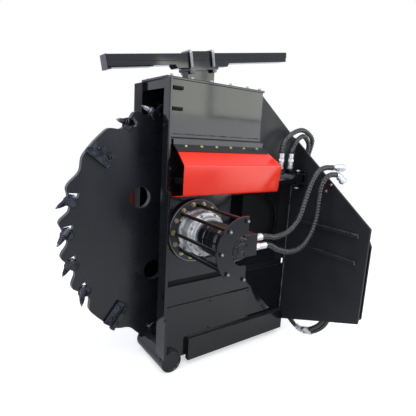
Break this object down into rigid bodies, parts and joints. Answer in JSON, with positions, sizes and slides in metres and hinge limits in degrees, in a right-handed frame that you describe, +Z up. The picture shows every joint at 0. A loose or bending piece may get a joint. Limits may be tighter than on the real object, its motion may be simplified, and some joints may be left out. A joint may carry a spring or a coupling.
{
  "type": "stump grinder",
  "caption": "Loader-mounted disc stump grinder: a toothed disc on a hydraulic motor that a cylinder slides in a box frame with a rear quick-attach plate.",
  "frame": {"origin": "on the ground, under the middle of the machine's bounding box", "axes": "+Z up, -X towards the cutting end, +X towards the loader, -Y towards the motor side"},
  "size_m": [1.3237, 1.24, 1.6006],
  "materials": {
    "black_paint": "gloss black enamel over welded steel plate",
    "red_paint": "gloss bright red enamel over folded steel sheet",
    "zinc_plate": "zinc-plated steel",
    "silver_paint": "silver paint over an iron casting",
    "tool_steel": "dark forged steel",
    "chrome_rod": "ground and hard-chromed rod",
    "hose_wrap": "black spiral guard over rubber hydraulic hose"
  },
  "bodies": {
    "frame": {"near_side_plate": "black_paint", "far_side_plate": "black_paint", "near_lower_plate": "black_paint", "near_cover_plate": "black_paint", "cap_plate": "black_paint", "near_front_bar": "black_paint", "front_skid_tube": "black_paint", "near_runner": "black_paint", "far_runner": "black_paint", "rear_cross_tube": "black_paint", "near_wing": "black_paint", "far_wing": "black_paint", "near_attach_plate": "black_paint", "far_attach_plate": "black_paint", "cylinder_cover": "red_paint", "cover_strip": "black_paint", "cylinder_anchor": "black_paint", "cylinder_barrel": "black_paint", "cylinder_hose_front": "hose_wrap", "cylinder_hose_rear": "hose_wrap", "spring_post": "black_paint", "spring_main_leaf": "black_paint", "spring_lower_leaf": "black_paint", "u_bolt_front": "zinc_plate", "u_bolt_rear": "zinc_plate", "upper_slide_rail": "tool_steel", "lower_slide_rail": "tool_steel", "coupler_upper": "zinc_plate", "coupler_lower": "zinc_plate", "motor_hose_upper": "hose_wrap", "motor_hose_lower": "hose_wrap"},
    "carriage": {"carriage_plate": "black_paint", "motor_flange": "silver_paint", "motor_gearbox": "silver_paint", "motor_body": "black_paint", "motor_guard": "black_paint", "cylinder_rod": "chrome_rod"},
    "cutter": {"wheel_disc": "black_paint", "wheel_hub": "tool_steel", "hub_cap": "tool_steel", "side_cutter_1": "tool_steel", "side_cutter_2": "tool_steel", "side_cutter_3": "tool_steel", "side_cutter_4": "tool_steel", "pick_01": "tool_steel", "pick_02": "tool_steel", "pick_03": "tool_steel", "pick_04": "tool_steel", "pick_05": "tool_steel", "pick_06": "tool_steel", "pick_07": "tool_steel", "pick_08": "tool_steel", "pick_09": "tool_steel", "pick_10": "tool_steel", "pick_11": "tool_steel", "pick_12": "tool_steel", "pick_13": "tool_steel", "pick_14": "tool_steel", "pick_15": "tool_steel", "pick_16": "tool_steel"}
  },
  "joints": [
    {"name": "carriage_slide", "type": "slide", "parent": "frame", "child": "carriage", "axis": [1, 0, 0], "range_m": [0, 0.25], "deforming": ["motor_hose_upper", "motor_hose_lower"]},
    {"name": "cutter_spin", "type": "hinge", "parent": "carriage", "child": "cutter", "pos_m": [-0.065, 0.03, 0.7], "axis": [0, 1, 0], "continuous": true}
  ]
}
